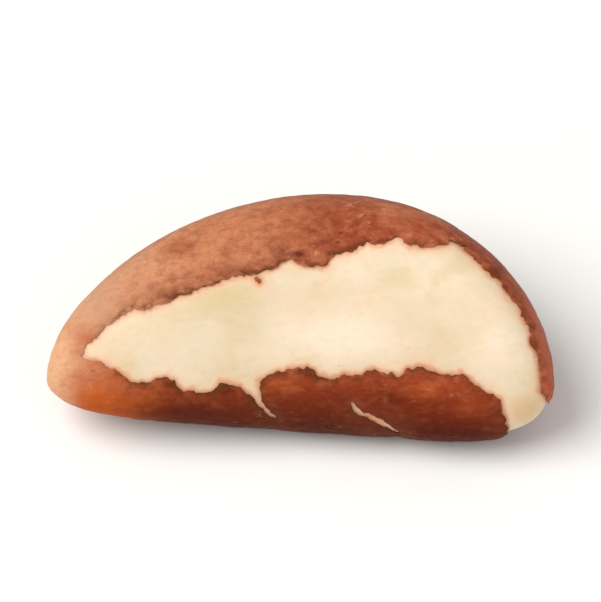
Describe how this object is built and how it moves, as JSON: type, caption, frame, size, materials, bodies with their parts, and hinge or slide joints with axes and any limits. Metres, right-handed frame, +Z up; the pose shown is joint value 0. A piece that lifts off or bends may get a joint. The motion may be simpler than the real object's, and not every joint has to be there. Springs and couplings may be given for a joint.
{
  "type": "shelled brazil nut",
  "caption": "Shelled Brazil nut kernel lying on a flat side: a plump three-sided cream kernel whose thin red-brown skin has peeled off one face and still wraps the arched back and ends.",
  "frame": {"origin": "under the middle of the nut, on the surface that it rests on", "axes": "+X along the nut towards its wide end, +Z up, and the peeled face looks towards -Y and up"},
  "size_m": [0.038, 0.0194, 0.0147],
  "materials": {
    "flesh": "satin",
    "skin": "satin"
  },
  "bodies": {
    "root": {"kernel": "flesh", "skin": "skin"}
  },
  "joints": []
}
